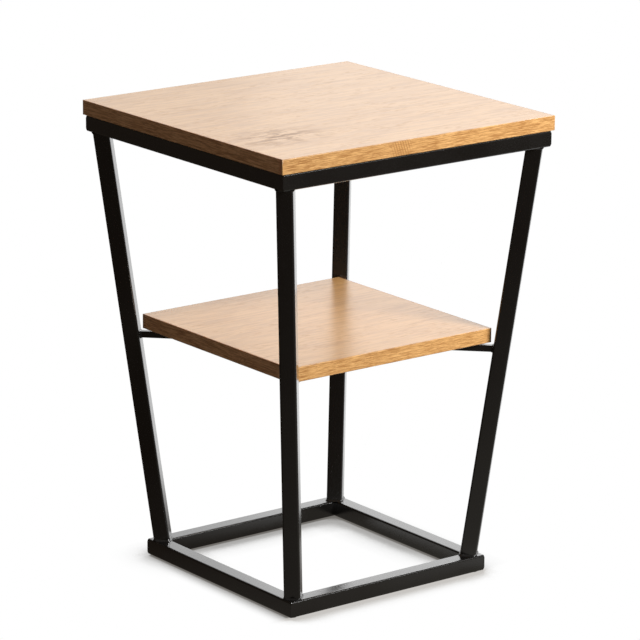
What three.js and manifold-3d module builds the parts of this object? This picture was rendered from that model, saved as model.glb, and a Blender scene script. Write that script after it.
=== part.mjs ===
// A small square nightstand: an oak-decor top and a smaller oak-decor shelf on a welded frame of black
// square steel tube. Four legs lean inwards from under the top frame to a smaller ring on the floor.
// Millimetres, +Z up, origin on the floor under the centre of the top. Front is -Y, right is +X.

import * as THREE from 'three';
import { mergeVertices } from 'three/addons/utils/BufferGeometryUtils.js';
import Module from 'manifold-3d';

const wasm = await Module();
wasm.setup();

// Overall sizes
const overallHeight = 570;
const topWidth = 400;
const shelfTopHeight = 308;
const baseWidth = 295;

// Boards: coated chipboard with a glued band on each edge
const boardThickness = 18;
const bandThickness = 2;
const bandArrisRadius = 1;
const shelfCornerClearance = 3.43;

// Square steel tube of the frame
const tubeSide = 20;
const tubeWall = 1.5;
const tubeCornerRadius = 2.5;
const tubeBoreCornerRadius = 1;
const groundCornerRadius = 1.6;
const groundCornerStandOff = 0.2;
const topFrameInset = 2.5;
const legEdgeInset = 1.1;

// Weld beads where a piece meets another
const legBeadSpread = 1.6;
const legBeadHeight = 2.8;
const barBeadSize = 1.4;
const barBeadLength = 2.8;
const weldGap = 0.3;
const beadEdgeInset = 0.4;

// Solid bars of the cross under the shelf
const barSide = 8;
const spacerThickness = 3;
const spacerDiameter = 14;
const spacerClearance = 0.5;

// Screws that hold the top, put in from below through the tube
const topScrewCornerInset = 87.5;
const topScrewDiameter = 4;
const topScrewCover = 3.5;
const topScrewHeadDiameter = 8;
const topScrewHeadHeight = 2.5;
const driverHoleClearance = 1;

// Screws that hold the shelf, put in from below through the cross
const shelfScrewCornerInset = 62;
const shelfScrewDiameter = 3.5;
const shelfScrewCover = 4;
const shelfScrewHeadDiameter = 7;
const shelfScrewHeadHeight = 2.2;
const screwTipLength = 3;
const screwClearance = 0.25;
const recessDepth = 1.4;
const recessWidth = 1;

// Glides between the base ring and the floor
const glideThickness = 2;
const glideDiameter = 10;
const glideChamfer = 0.5;

// Length by which a cutting tool runs past the piece that it cuts
const cutOverrun = 5;

// Facets
const tubeCornerSegments = 5;
const arrisSegments = 3;
const roundSegments = 24;
const screwSegments = 16;

// Heights and reaches that follow from the sizes above
const boardUnderside = overallHeight - boardThickness;
const topFrameWidth = topWidth - 2 * topFrameInset;
const topFrameUnderside = boardUnderside - tubeSide;
const baseRingTop = glideThickness + tubeSide;
const legHeight = topFrameUnderside - baseRingTop;
const shelfUnderside = shelfTopHeight - boardThickness;
const barTopHeight = shelfUnderside - spacerThickness;
const barUnderside = barTopHeight - barSide;

const diagonalStretch = Math.SQRT2;
const tubeCornerReach = (tubeSide / 2 - tubeCornerRadius) * diagonalStretch + tubeCornerRadius;

// Distance from the table's axis, along a diagonal, of a leg's centre line under or on a frame
function legReach(frameWidth) {
  return (frameWidth / 2 - legEdgeInset - tubeCornerReach) * diagonalStretch;
}
const legHeadReach = legReach(topFrameWidth);
const legFootReach = legReach(baseWidth);
const legLean = Math.atan2(legHeadReach - legFootReach, legHeight);

// Distance from the table's axis, along a diagonal, of a leg's inner face at a height
function legInnerReach(height) {
  const climb = (height - baseRingTop) / legHeight;
  const centre = THREE.MathUtils.lerp(legFootReach, legHeadReach, climb);
  return centre - tubeSide / 2 / Math.cos(legLean);
}

// The shelf's corners stand clear of the legs' inner faces
const shelfCornerReach = legInnerReach(shelfUnderside) - shelfCornerClearance;
const shelfWidth = shelfCornerReach * diagonalStretch;
const shelfScrewReach = shelfCornerReach - shelfScrewCornerInset;
const topScrewOffset = topFrameWidth / 2 - topScrewCornerInset;
const topScrewDepth = boardThickness - topScrewCover;
const shelfScrewDepth = boardThickness - shelfScrewCover;

// Materials
const oakDecor = new THREE.MeshStandardMaterial({ color: 0xd8a873, roughness: 0.5, metalness: 0 });
const oakBand = new THREE.MeshStandardMaterial({ color: 0xc98f55, roughness: 0.55, metalness: 0 });
const powderCoat = new THREE.MeshStandardMaterial({ color: 0x1b1a19, roughness: 0.42, metalness: 0.2 });
const zincSteel = new THREE.MeshStandardMaterial({ color: 0xb9bcc0, roughness: 0.35, metalness: 1 });
const blackRubber = new THREE.MeshStandardMaterial({ color: 0x17171a, roughness: 0.85, metalness: 0 });
const glidePlastic = new THREE.MeshStandardMaterial({ color: 0x222222, roughness: 0.7, metalness: 0 });

// Solid helpers

function toSolid(geometry) {
  const bare = geometry.clone();
  bare.deleteAttribute('normal');
  bare.deleteAttribute('uv');
  const merged = mergeVertices(bare);
  return new wasm.Manifold(new wasm.Mesh({
    numProp: 3,
    vertProperties: new Float32Array(merged.attributes.position.array),
    triVerts: new Uint32Array(merged.index.array),
  }));
}

function toGeometry(solid) {
  const mesh = solid.getMesh();
  const geometry = new THREE.BufferGeometry();
  geometry.setAttribute('position', new THREE.BufferAttribute(mesh.vertProperties, 3));
  geometry.setIndex(new THREE.BufferAttribute(mesh.triVerts, 1));
  return geometry;
}

function cutAway(geometry, tools) {
  const solid = tools.reduce((body, tool) => body.subtract(toSolid(tool)), toSolid(geometry));
  return toGeometry(solid);
}

function common(first, second) {
  return toGeometry(toSolid(first).intersect(toSolid(second)));
}

// Moves every point of a geometry to the place that the function gives for it
function reshape(geometry, place) {
  const position = geometry.attributes.position;
  const point = new THREE.Vector3();
  for (let i = 0; i < position.count; i += 1) {
    point.fromBufferAttribute(position, i);
    place(point);
    position.setXYZ(i, point.x, point.y, point.z);
  }
  return geometry;
}

// Adds a square with rounded corners, centred on the origin, to a shape or a path
function traceRoundedSquare(path, side, radius) {
  const flat = side / 2 - radius;
  const corners = [[flat, flat], [-flat, flat], [-flat, -flat], [flat, -flat]];
  path.moveTo(side / 2, flat);
  corners.forEach(([x, y], quarter) => {
    const start = quarter * Math.PI / 2;
    path.absarc(x, y, radius, start, start + Math.PI / 2, false);
  });
  path.closePath();
  return path;
}

function roundedSquare(side, radius) {
  return traceRoundedSquare(new THREE.Shape(), side, radius);
}

// Section of the square tube, with its bore
function tubeSection() {
  const section = roundedSquare(tubeSide, tubeCornerRadius);
  const bore = traceRoundedSquare(new THREE.Path(), tubeSide - 2 * tubeWall, tubeBoreCornerRadius);
  section.holes.push(bore);
  return section;
}

function extrudeUp(shape, height, segments) {
  return new THREE.ExtrudeGeometry(shape, { depth: height, bevelEnabled: false, curveSegments: segments });
}

// A standing round bar from one height to another
function uprightRod(diameter, bottom, top, segments) {
  const rod = new THREE.CylinderGeometry(diameter / 2, diameter / 2, top - bottom, segments);
  rod.rotateX(Math.PI / 2);
  rod.translate(0, 0, (bottom + top) / 2);
  return rod;
}

// Names of the sides and corners, in order round the table, with their turns from the front
const sides = ['front', 'right', 'back', 'left'];
const corners = ['front_left', 'front_right', 'back_right', 'back_left'];
const quarterTurn = Math.PI / 2;
const frontLeftDiagonal = -3 * Math.PI / 4;

function addMesh(group, name, geometry, material) {
  const mesh = new THREE.Mesh(geometry, material);
  mesh.name = name;
  group.add(mesh);
  return mesh;
}

// Boards

// Most of a band's thickness that its rounded arris can take
const arrisLimitShare = 0.8;

// A square board without its bands, lying with its underside at zero, with blind holes for its screws
function boardCore(width, screwPlaces, screwDiameter, screwDepth) {
  const coreWidth = width - 2 * bandThickness;
  const outline = new THREE.Shape();
  outline.moveTo(-coreWidth / 2, -coreWidth / 2);
  outline.lineTo(coreWidth / 2, -coreWidth / 2);
  outline.lineTo(coreWidth / 2, coreWidth / 2);
  outline.lineTo(-coreWidth / 2, coreWidth / 2);
  outline.closePath();
  const board = extrudeUp(outline, boardThickness, 1);
  const holeDiameter = screwDiameter + 2 * screwClearance;
  const pilots = screwPlaces.map(([x, y]) => {
    const pilot = uprightRod(holeDiameter, -cutOverrun, screwDepth + screwClearance, screwSegments);
    return pilot.translate(x, y, 0);
  });
  return cutAway(board, pilots);
}

// The band of a front edge: long arrises and, on a band that runs corner to corner, upright arrises too
function edgeBand(boardWidth, runsToCorners) {
  const length = runsToCorners ? boardWidth : boardWidth - 2 * bandThickness;
  const outer = -boardWidth / 2;
  const inner = outer + bandThickness;
  const arris = Math.min(bandArrisRadius, bandThickness * arrisLimitShare);
  const section = new THREE.Shape();
  section.moveTo(inner, 0);
  section.lineTo(inner, boardThickness);
  section.lineTo(outer + arris, boardThickness);
  section.absarc(outer + arris, boardThickness - arris, arris, quarterTurn, Math.PI, false);
  section.lineTo(outer, arris);
  section.absarc(outer + arris, arris, arris, Math.PI, 3 * quarterTurn, false);
  section.closePath();
  const strip = extrudeUp(section, length, arrisSegments);
  reshape(strip, (p) => p.set(p.z - length / 2, p.x, p.y));
  if (!runsToCorners) {
    return strip;
  }
  const plan = new THREE.Shape();
  plan.moveTo(length / 2, outer + arris);
  plan.lineTo(length / 2, inner + cutOverrun);
  plan.lineTo(-length / 2, inner + cutOverrun);
  plan.lineTo(-length / 2, outer + arris);
  plan.absarc(-length / 2 + arris, outer + arris, arris, Math.PI, 3 * quarterTurn, false);
  plan.absarc(length / 2 - arris, outer + arris, arris, 3 * quarterTurn, 4 * quarterTurn, false);
  plan.closePath();
  const upright = extrudeUp(plan, boardThickness + 2 * cutOverrun, arrisSegments);
  upright.translate(0, 0, -cutOverrun);
  return common(strip, upright);
}

function bandedBoard(label, width, screwPlaces, screwDiameter, screwDepth) {
  const board = new THREE.Group();
  addMesh(board, `${label}_panel`, boardCore(width, screwPlaces, screwDiameter, screwDepth), oakDecor);
  sides.forEach((side, turn) => {
    const runsToCorners = turn % 2 === 0;
    const band = addMesh(board, `${label}_edge_band_${side}`, edgeBand(width, runsToCorners), oakBand);
    band.rotation.z = turn * quarterTurn;
  });
  return board;
}

// Frame rings

// The front rail of a ring, its underside at zero: mitred to both corners, with the corner welds ground round
function mitredRail(frameWidth, screwOffsets) {
  const middle = -frameWidth / 2 + tubeSide / 2;
  const rail = extrudeUp(tubeSection(), 1, tubeCornerSegments);
  reshape(rail, (p) => {
    const across = middle + p.x;
    p.set((1 - 2 * p.z) * across, across, tubeSide / 2 + p.y);
  });
  const grinding = extrudeUp(
    roundedSquare(frameWidth + 2 * groundCornerStandOff, groundCornerRadius),
    tubeSide + 2 * cutOverrun,
    tubeCornerSegments,
  );
  grinding.translate(0, 0, -cutOverrun);
  const ground = common(rail, grinding);
  const holes = screwOffsets.flatMap((offset) => {
    const boreMiddle = tubeSide / 2;
    const driverHole = uprightRod(topScrewHeadDiameter + 2 * driverHoleClearance, -cutOverrun, boreMiddle,
      roundSegments);
    const shankHole = uprightRod(topScrewDiameter + 2 * screwClearance, boreMiddle, tubeSide + cutOverrun,
      screwSegments);
    return [driverHole, shankHole].map((hole) => hole.translate(offset, middle, 0));
  });
  return cutAway(ground, holes);
}

function frameRing(label, frameWidth, screwOffsets) {
  const ring = new THREE.Group();
  sides.forEach((side, turn) => {
    const rail = addMesh(ring, `${label}_rail_${side}`, mitredRail(frameWidth, screwOffsets), powderCoat);
    rail.rotation.z = turn * quarterTurn;
  });
  return ring;
}

// Legs

// A weld bead's stand-off from the tube, at each share of its height from the joint
const beadHeightShares = [0, 0.25, 0.6, 1];
const beadStandOffShares = [1, 0.52, 0.16, 0];

// Share of the wall that tells the tube's outside from its bore
const boreToleranceShare = 0.1;

// Heights along a leg where its section changes, with the bead's stand-off there
function legStations() {
  const foot = beadHeightShares.map((share, i) => ({
    height: share * legBeadHeight,
    standOff: beadStandOffShares[i] * legBeadSpread,
  }));
  const head = foot.map(({ height, standOff }) => ({ height: legHeight - height, standOff })).reverse();
  return [...foot, ...head];
}

// A leg on the +X diagonal, its foot at zero. The tube leans outwards to its head, its ends are cut level,
// and its weld beads spread on the rings without passing their corners.
function leaningLeg() {
  const stations = legStations();
  const lastStation = stations.length - 1;
  const leg = new THREE.ExtrudeGeometry(tubeSection(), {
    depth: 1,
    steps: lastStation,
    bevelEnabled: false,
    curveSegments: tubeCornerSegments,
  });
  const boreEdge = tubeSide / 2 - tubeWall + tubeWall * boreToleranceShare;
  return reshape(leg, (p) => {
    const { height, standOff } = stations[Math.round(p.z * lastStation)];
    const climb = height / legHeight;
    const centre = THREE.MathUtils.lerp(legFootReach, legHeadReach, climb);
    const onOutside = Math.max(Math.abs(p.x), Math.abs(p.y)) > boreEdge;
    const spread = onOutside ? 1 + 2 * standOff / tubeSide : 1;
    const ringWidth = climb > 1 / 2 ? topFrameWidth : baseWidth;
    const ringEdge = (ringWidth / 2 - beadEdgeInset) * diagonalStretch;
    const y = p.y * spread;
    const x = centre + p.x * spread / Math.cos(legLean);
    p.set(Math.min(x, ringEdge - Math.abs(y)), y, height);
  });
}

function legs() {
  const group = new THREE.Group();
  const geometry = leaningLeg();
  corners.forEach((corner, turn) => {
    const leg = addMesh(group, `leg_${corner}`, geometry, powderCoat);
    leg.rotation.z = frontLeftDiagonal + turn * quarterTurn;
  });
  return group;
}

// Cross under the shelf

// A bar's bead halfway to the leg, as shares of its length and of its size
const beadMiddleLengthShare = 0.5;
const beadMiddleSizeShare = 0.25;

// Side outline of a bar's welded end at a leg: it leans with the leg and spreads above and below
function weldedEnd(heading) {
  const reachAt = (height) => legInnerReach(height) - weldGap;
  const beadTop = barTopHeight + barBeadSize;
  const beadBottom = barUnderside - barBeadSize;
  const middleLength = barBeadLength * beadMiddleLengthShare;
  const middleSize = barBeadSize * beadMiddleSizeShare;
  const outwards = [
    [reachAt(beadBottom) - barBeadLength, barUnderside],
    [reachAt(beadBottom) - middleLength, barUnderside - middleSize],
    [reachAt(beadBottom), beadBottom],
    [reachAt(beadTop), beadTop],
    [reachAt(beadTop) - middleLength, barTopHeight + middleSize],
    [reachAt(beadTop) - barBeadLength, barTopHeight],
  ].map(([reach, height]) => new THREE.Vector2(heading * reach, height));
  return heading > 0 ? outwards : outwards.reverse();
}

// A bar in its side outline, from the points of its near end round to its far end
function crossBar(outline, screwReaches) {
  const bar = extrudeUp(new THREE.Shape(outline), barSide, 1);
  reshape(bar, (p) => p.set(p.x, barSide / 2 - p.z, p.y));
  const holes = screwReaches.map((reach) => {
    const hole = uprightRod(shelfScrewDiameter + 2 * screwClearance, barUnderside - cutOverrun,
      barTopHeight + cutOverrun, screwSegments);
    return hole.translate(reach, 0, 0);
  });
  return cutAway(bar, holes);
}

function throughBar() {
  return crossBar([...weldedEnd(1), ...weldedEnd(-1)], [-shelfScrewReach, shelfScrewReach]);
}

function halfBar() {
  const nearEnd = barSide / 2 + weldGap;
  const buttEnd = [new THREE.Vector2(nearEnd, barTopHeight), new THREE.Vector2(nearEnd, barUnderside)];
  return crossBar([...weldedEnd(1), ...buttEnd], [shelfScrewReach]);
}

function shelfCross() {
  const cross = new THREE.Group();
  const through = addMesh(cross, 'shelf_bar_through', throughBar(), powderCoat);
  through.rotation.z = frontLeftDiagonal + quarterTurn;
  [0, 2].forEach((turn) => {
    const half = addMesh(cross, `shelf_bar_${corners[turn]}`, halfBar(), powderCoat);
    half.rotation.z = frontLeftDiagonal + turn * quarterTurn;
  });
  return cross;
}

// Fasteners, spacers and glides

// Form of a pan head: the width of its flat crown, the height of its rim and the length of its recess
const crownShare = 0.72;
const rimHeightShare = 0.45;
const recessLengthShare = 0.5;

// A pan-head screw standing on its head, the head's seat at zero, with a cross recess below
function panHeadScrew(diameter, length, headDiameter, headHeight) {
  const radius = diameter / 2;
  const headRadius = headDiameter / 2;
  const crownRadius = headRadius * crownShare;
  const profile = [
    [0, -headHeight],
    [crownRadius, -headHeight],
    [headRadius, -headHeight * rimHeightShare],
    [headRadius, 0],
    [radius, 0],
    [radius, length - screwTipLength],
    [0, length],
  ].map(([r, z]) => new THREE.Vector2(r, z));
  const body = new THREE.LatheGeometry(profile, screwSegments);
  body.rotateX(quarterTurn);
  const slotLength = headDiameter * recessLengthShare;
  const slotHeight = recessDepth + cutOverrun;
  const slots = [0, 1].map((turn) => {
    const slot = new THREE.BoxGeometry(slotLength, recessWidth, slotHeight);
    slot.rotateZ(turn * quarterTurn);
    return slot.translate(0, 0, recessDepth - headHeight - slotHeight / 2);
  });
  return cutAway(body, slots);
}

// Places along the front rail where its screws stand
const topScrewOffsets = [-topScrewOffset, topScrewOffset];

// The same places on all four sides, as points in plan
function topScrewPlaces() {
  const line = topFrameWidth / 2 - tubeSide / 2;
  return sides.flatMap((side, turn) => topScrewOffsets.map((offset) => {
    const place = new THREE.Vector2(offset, -line);
    place.rotateAround(new THREE.Vector2(), turn * quarterTurn);
    return [place.x, place.y];
  }));
}

function shelfScrewPlaces() {
  const offset = shelfScrewReach / diagonalStretch;
  return [[-offset, -offset], [offset, -offset], [offset, offset], [-offset, offset]];
}

function topScrews() {
  const group = new THREE.Group();
  const length = tubeWall + topScrewDepth;
  const geometry = panHeadScrew(topScrewDiameter, length, topScrewHeadDiameter, topScrewHeadHeight);
  topScrewPlaces().forEach(([x, y], i) => {
    const side = sides[Math.floor(i / topScrewOffsets.length)];
    const screw = addMesh(group, `top_screw_${side}_${i % topScrewOffsets.length + 1}`, geometry, zincSteel);
    screw.position.set(x, y, boardUnderside - tubeWall);
  });
  return group;
}

function shelfFixings() {
  const group = new THREE.Group();
  const length = barSide + spacerThickness + shelfScrewDepth;
  const screwGeometry = panHeadScrew(shelfScrewDiameter, length, shelfScrewHeadDiameter,
    shelfScrewHeadHeight);
  const boreRadius = shelfScrewDiameter / 2 + spacerClearance;
  const spacerProfile = [
    [boreRadius, 0],
    [spacerDiameter / 2, 0],
    [spacerDiameter / 2, spacerThickness],
    [boreRadius, spacerThickness],
    [boreRadius, 0],
  ].map(([r, z]) => new THREE.Vector2(r, z));
  const spacerGeometry = new THREE.LatheGeometry(spacerProfile, roundSegments);
  spacerGeometry.rotateX(quarterTurn);
  shelfScrewPlaces().forEach(([x, y], i) => {
    const screw = addMesh(group, `shelf_screw_${corners[i]}`, screwGeometry, zincSteel);
    screw.position.set(x, y, barUnderside);
    const spacer = addMesh(group, `shelf_spacer_${corners[i]}`, spacerGeometry, blackRubber);
    spacer.position.set(x, y, barTopHeight);
  });
  return group;
}

function glides() {
  const group = new THREE.Group();
  const radius = glideDiameter / 2;
  const profile = [
    [0, 0],
    [radius - glideChamfer, 0],
    [radius, glideChamfer],
    [radius, glideThickness],
    [0, glideThickness],
  ].map(([r, z]) => new THREE.Vector2(r, z));
  const geometry = new THREE.LatheGeometry(profile, roundSegments);
  geometry.rotateX(quarterTurn);
  const line = baseWidth / 2 - tubeSide / 2;
  corners.forEach((corner, turn) => {
    const glide = addMesh(group, `glide_${corner}`, geometry, glidePlastic);
    const place = new THREE.Vector2(-line, -line).rotateAround(new THREE.Vector2(), turn * quarterTurn);
    glide.position.set(place.x, place.y, 0);
  });
  return group;
}

// The nightstand

const nightstand = new THREE.Group();

const top = bandedBoard('top', topWidth, topScrewPlaces(), topScrewDiameter, topScrewDepth);
top.position.z = boardUnderside;

const topRing = frameRing('top', topFrameWidth, topScrewOffsets);
topRing.position.z = topFrameUnderside;

const legGroup = legs();
legGroup.position.z = baseRingTop;

const baseRing = frameRing('base', baseWidth, []);
baseRing.position.z = glideThickness;

const shelf = bandedBoard('shelf', shelfWidth, shelfScrewPlaces(), shelfScrewDiameter, shelfScrewDepth);
shelf.position.z = shelfUnderside;

nightstand.add(top, topRing, legGroup, baseRing, shelf, shelfCross(), shelfFixings(), topScrews(), glides());

export default nightstand;
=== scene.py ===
"""A small nightstand: oak-finish top and shelf on a black steel-tube frame, in a plain studio.

Metres, +Z up, origin on the floor under the centre of the top. Front is -Y, right is +X.
"""

from __future__ import annotations

import logging
import math
from collections.abc import Callable
from dataclasses import dataclass, field
from enum import Enum

import bmesh
import bpy
from mathutils import Matrix, Vector, noise

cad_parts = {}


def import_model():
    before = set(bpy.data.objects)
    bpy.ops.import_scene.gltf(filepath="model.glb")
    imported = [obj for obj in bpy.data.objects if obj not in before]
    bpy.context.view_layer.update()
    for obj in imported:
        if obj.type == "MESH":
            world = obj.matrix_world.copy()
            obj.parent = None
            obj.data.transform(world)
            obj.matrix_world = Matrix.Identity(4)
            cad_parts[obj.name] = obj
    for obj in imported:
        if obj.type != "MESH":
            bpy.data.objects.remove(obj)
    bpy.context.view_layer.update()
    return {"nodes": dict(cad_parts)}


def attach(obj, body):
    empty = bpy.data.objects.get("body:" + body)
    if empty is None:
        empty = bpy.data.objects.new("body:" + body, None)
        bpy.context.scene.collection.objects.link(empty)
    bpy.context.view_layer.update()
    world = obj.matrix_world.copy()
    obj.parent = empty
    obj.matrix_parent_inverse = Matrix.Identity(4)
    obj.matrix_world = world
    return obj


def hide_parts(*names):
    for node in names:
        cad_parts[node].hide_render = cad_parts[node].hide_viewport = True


Socket = bpy.types.NodeSocket
Sockets = bpy.types.bpy_prop_collection
Node = bpy.types.Node
Tree = bpy.types.NodeTree
Material = bpy.types.Material
BMesh = bmesh.types.BMesh
Colour = tuple[float, float, float]
Triple = tuple[float, float, float]
Span = tuple[float, float]
Profile = tuple[Span, ...]

LOG = logging.getLogger("nightstand")
MM = 0.001
QUARTER = math.pi / 2
ROOT_2 = math.sqrt(2)
CUT_TOLERANCE = 0.0005 * MM
MERGE_DISTANCE = 0.002 * MM
SAME_PLACE = 0.02 * MM
WHITE = (1.0, 1.0, 1.0, 1.0)
SWEEP_HEADING = math.radians(37.5)
STEEL_SLOT = "black_powder_coat"
WELD_SMOOTH = 50.0
# Sets the noise of a leg's foot bead apart from its head bead's, for each metre of height
END_SHIFT = 50


class TablePlace(Enum):
    """A place round the table. Its value counts quarter turns."""

    @property
    def label(self) -> str:
        """The place's name in a piece's name."""
        return self.name.lower()


class Side(TablePlace):
    """A side of the table, counted from the front."""

    FRONT = 0
    RIGHT = 1
    BACK = 2
    LEFT = 3

    @property
    def turn(self) -> Matrix:
        """The turn that brings a front piece to this side."""
        return Matrix.Rotation(self.value * QUARTER, 4, "Z")


class Corner(TablePlace):
    """A corner of the table, counted from the front left."""

    FRONT_LEFT = 0
    FRONT_RIGHT = 1
    BACK_RIGHT = 2
    BACK_LEFT = 3

    @property
    def turn(self) -> Matrix:
        """The turn that brings a piece on the +X axis to this corner's diagonal."""
        return Matrix.Rotation((self.value - 1.5) * QUARTER, 4, "Z")


class Grain(Enum):
    """The way that a wood finish's grain runs."""

    ALONG_X = 0
    ALONG_Y = 1


class SkinOutput(Enum):
    """The output of the fine skin that a finish's roughness follows."""

    HEIGHT = "Height"
    PATCHES = "Patches"


# Shader node helpers


class Nodes:
    """A material's or a group's node tree, with short calls to add and join nodes."""

    def __init__(self, tree: Tree) -> None:
        """Keeps the tree."""
        self.tree = tree

    def add(self, kind: str, inputs: dict[object, object] | None = None, **values: object) -> Node:
        """Adds a node, sets its properties and feeds its inputs.

        Args:
            kind: The node's type name.
            inputs: What its inputs get, by name or number: an output socket or a plain value.
            values: Properties to set on it.

        Returns:
            The new node.
        """
        node = self.tree.nodes.new(kind)
        for key, value in values.items():
            setattr(node, key, value)
        for key, value in (inputs or {}).items():
            self.feed(node.inputs[key], value)
        return node

    def feed(self, socket: Socket, value: object) -> None:
        """Gives an input a link or a plain value.

        Args:
            socket: The input.
            value: An output socket, or a number, colour or vector.
        """
        if isinstance(value, Socket):
            self.tree.links.new(value, socket)
        else:
            socket.default_value = value

    def math(self, operation: str, *inputs: object, clamp: bool = False) -> Socket:
        """The result of a Math node."""
        values = {"operation": operation, "use_clamp": clamp}
        return self.add("ShaderNodeMath", dict(enumerate(inputs)), **values).outputs[0]

    def times(self, first: object, second: object) -> Socket:
        """The product of two values."""
        return self.math("MULTIPLY", first, second)

    def vector_math(self, operation: str, *inputs: object) -> Sockets:
        """The results of a Vector Math node."""
        return self.add("ShaderNodeVectorMath", dict(enumerate(inputs)), operation=operation).outputs

    def parts(self, vector: Socket) -> Sockets:
        """The X, Y and Z of a vector."""
        return self.add("ShaderNodeSeparateXYZ", {0: vector}).outputs

    def mix(self, factor: object, first: object, second: object, blend: str = "MIX") -> Socket:
        """A mix of two colours, with the second one's share as its factor."""
        inputs = {0: factor, 6: first, 7: second}
        return self.add("ShaderNodeMix", inputs, data_type="RGBA", blend_type=blend).outputs[2]

    def span(self, value: object, low: float, high: float, to_low: float = 0.0,
             to_high: float = 1.0) -> Socket:
        """A value mapped from one range to another and held inside it."""
        ends = {"From Min": low, "From Max": high, "To Min": to_low, "To Max": to_high}
        return self.add("ShaderNodeMapRange", {"Value": value, **ends}).outputs["Result"]

    def noise(self, vector: object, detail: float, roughness: float, distortion: float = 0.0,
              scale: float = 1.0) -> Socket:
        """The factor of a noise texture that is read at a vector."""
        looks = {"Scale": scale, "Detail": detail, "Roughness": roughness, "Distortion": distortion}
        return self.add("ShaderNodeTexNoise", {"Vector": vector, **looks}).outputs[0]

    def mapping(self, vector: object, scale: Triple, turn: Triple = (0, 0, 0),
                shift: Triple = (0, 0, 0)) -> Socket:
        """A vector that is scaled, turned and shifted."""
        inputs = {"Vector": vector, "Scale": scale, "Rotation": turn, "Location": shift}
        return self.add("ShaderNodeMapping", inputs).outputs[0]

    def place(self, group: Tree, **inputs: object) -> Sockets:
        """The outputs of a node group, fed by input names that have _ for a space."""
        named = {name.replace("_", " "): value for name, value in inputs.items()}
        return self.add("ShaderNodeGroup", named, node_tree=group).outputs


FLOAT = "NodeSocketFloat"
COLOUR = "NodeSocketColor"
VECTOR = "NodeSocketVector"


def open_group(name: str, inputs: dict[str, str],
               outputs: dict[str, str]) -> tuple[Tree, Nodes, Sockets, Sockets]:
    """Makes an empty shader node group with named sockets.

    Args:
        name: The group's name.
        inputs: Each input's socket type.
        outputs: Each output's socket type.

    Returns:
        The group, its nodes, what comes in and where the results go.
    """
    group = bpy.data.node_groups.new(name, "ShaderNodeTree")
    for way, sockets in (("INPUT", inputs), ("OUTPUT", outputs)):
        for label, kind in sockets.items():
            group.interface.new_socket(name=label, in_out=way, socket_type=kind)
    n = Nodes(group)
    return group, n, n.add("NodeGroupInput").outputs, n.add("NodeGroupOutput").inputs


@dataclass(frozen=True)
class Stretched:
    """Noise with its own scale along the first axis and across it."""

    along: float
    across: float
    detail: float
    roughness: float
    distortion: float = 0.0
    shift: Triple = (0.0, 0.0, 0.0)

    def build(self, n: Nodes, place: Socket) -> Socket:
        """Adds the noise.

        Args:
            n: The tree.
            place: Where it is read.

        Returns:
            Its factor.
        """
        stretched = n.mapping(place, (self.along, self.across, self.across), shift=self.shift)
        return n.noise(stretched, self.detail, self.roughness, self.distortion)


BANDS = Stretched(4.0, 48.0, 3.0, 0.55, 0.35)
LINES = Stretched(14.0, 210.0, 3.0, 0.6, 0.2, (3.1, 0.7, 1.9))
FIBRES = Stretched(22.0, 620.0, 4.0, 0.65)
CLOUDS = Stretched(9.0, 16.0, 3.0, 0.6, shift=(0.2, 8.4, 3.3))
PORE_DASHES = Stretched(60.0, 330.0, 1.0, 0.5, shift=(1.3, 5.2, 0.4))
PORE_FIELDS = Stretched(9.0, 60.0, 2.0, 0.5, shift=(7.7, 2.2, 4.1))
EDGE_GRIT = Stretched(260.0, 260.0, 3.0, 0.6)
SMUDGE_GRIT = Stretched(45.0, 120.0, 3.0, 0.65)
SLOW_PATCHES = Stretched(14.0, 14.0, 4.0, 0.6)
SPECKS_PER_PEBBLE = 3.7
# The part of a noise's range that is used
NOISE_SWING = (0.3, 0.7)
PATCH_SWING = (0.35, 0.65)
DASH_SWING = (0.56, 0.66)
FIELD_SWING = (0.40, 0.60)
GRIT_SWING = (0.35, 0.6)
SMUDGE_SWING = (0.46, 0.56)
# The tones between which the oak goes from dark to middle, and from middle to light
DARK_TO_MIDDLE = (0.0, 0.6)
MIDDLE_TO_LIGHT = (0.45, 1.0)
# The cosine of a softened normal with the plain one, where an edge is fully in and where it is out
EDGE_TURN = (0.90, 0.995)


def oak_figure_group() -> Tree:
    """Builds the oak figure: soft bands, lines, long fibres, cloudy patches and short dark pores.

    Returns:
        The group, which gives a colour and the masks of its pores and its fibres.
    """
    depths = {"Band Depth": BANDS, "Line Depth": LINES, "Fibre Depth": FIBRES, "Cloud Depth": CLOUDS}
    group, n, start, end = open_group(
        "oak_figure", {"Vector": VECTOR, "Light": COLOUR, "Middle": COLOUR, "Dark": COLOUR,
                       **dict.fromkeys((*depths, "Pore Depth"), FLOAT)},
        {"Color": COLOUR, "Pores": FLOAT, "Fibres": FLOAT})
    place = start["Vector"]
    figures = {name: figure.build(n, place) for name, figure in depths.items()}
    pores = n.times(n.span(PORE_DASHES.build(n, place), *DASH_SWING),
                    n.span(PORE_FIELDS.build(n, place), *FIELD_SWING))
    swings = [n.times(n.span(figure, *NOISE_SWING, -0.5, 0.5), start[name])
              for name, figure in figures.items()]
    tone = swings[0]
    for swing in swings[1:]:
        tone = n.math("ADD", tone, swing)
    tone = n.math("ADD", tone, 0.5, clamp=True)
    base = n.mix(n.span(tone, *DARK_TO_MIDDLE), start["Dark"], start["Middle"])
    base = n.mix(n.span(tone, *MIDDLE_TO_LIGHT), base, start["Light"])
    n.feed(end["Color"], n.mix(n.times(pores, start["Pore Depth"]), base, start["Dark"]))
    n.feed(end["Pores"], pores)
    n.feed(end["Fibres"], figures["Fibre Depth"])
    return group


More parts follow.
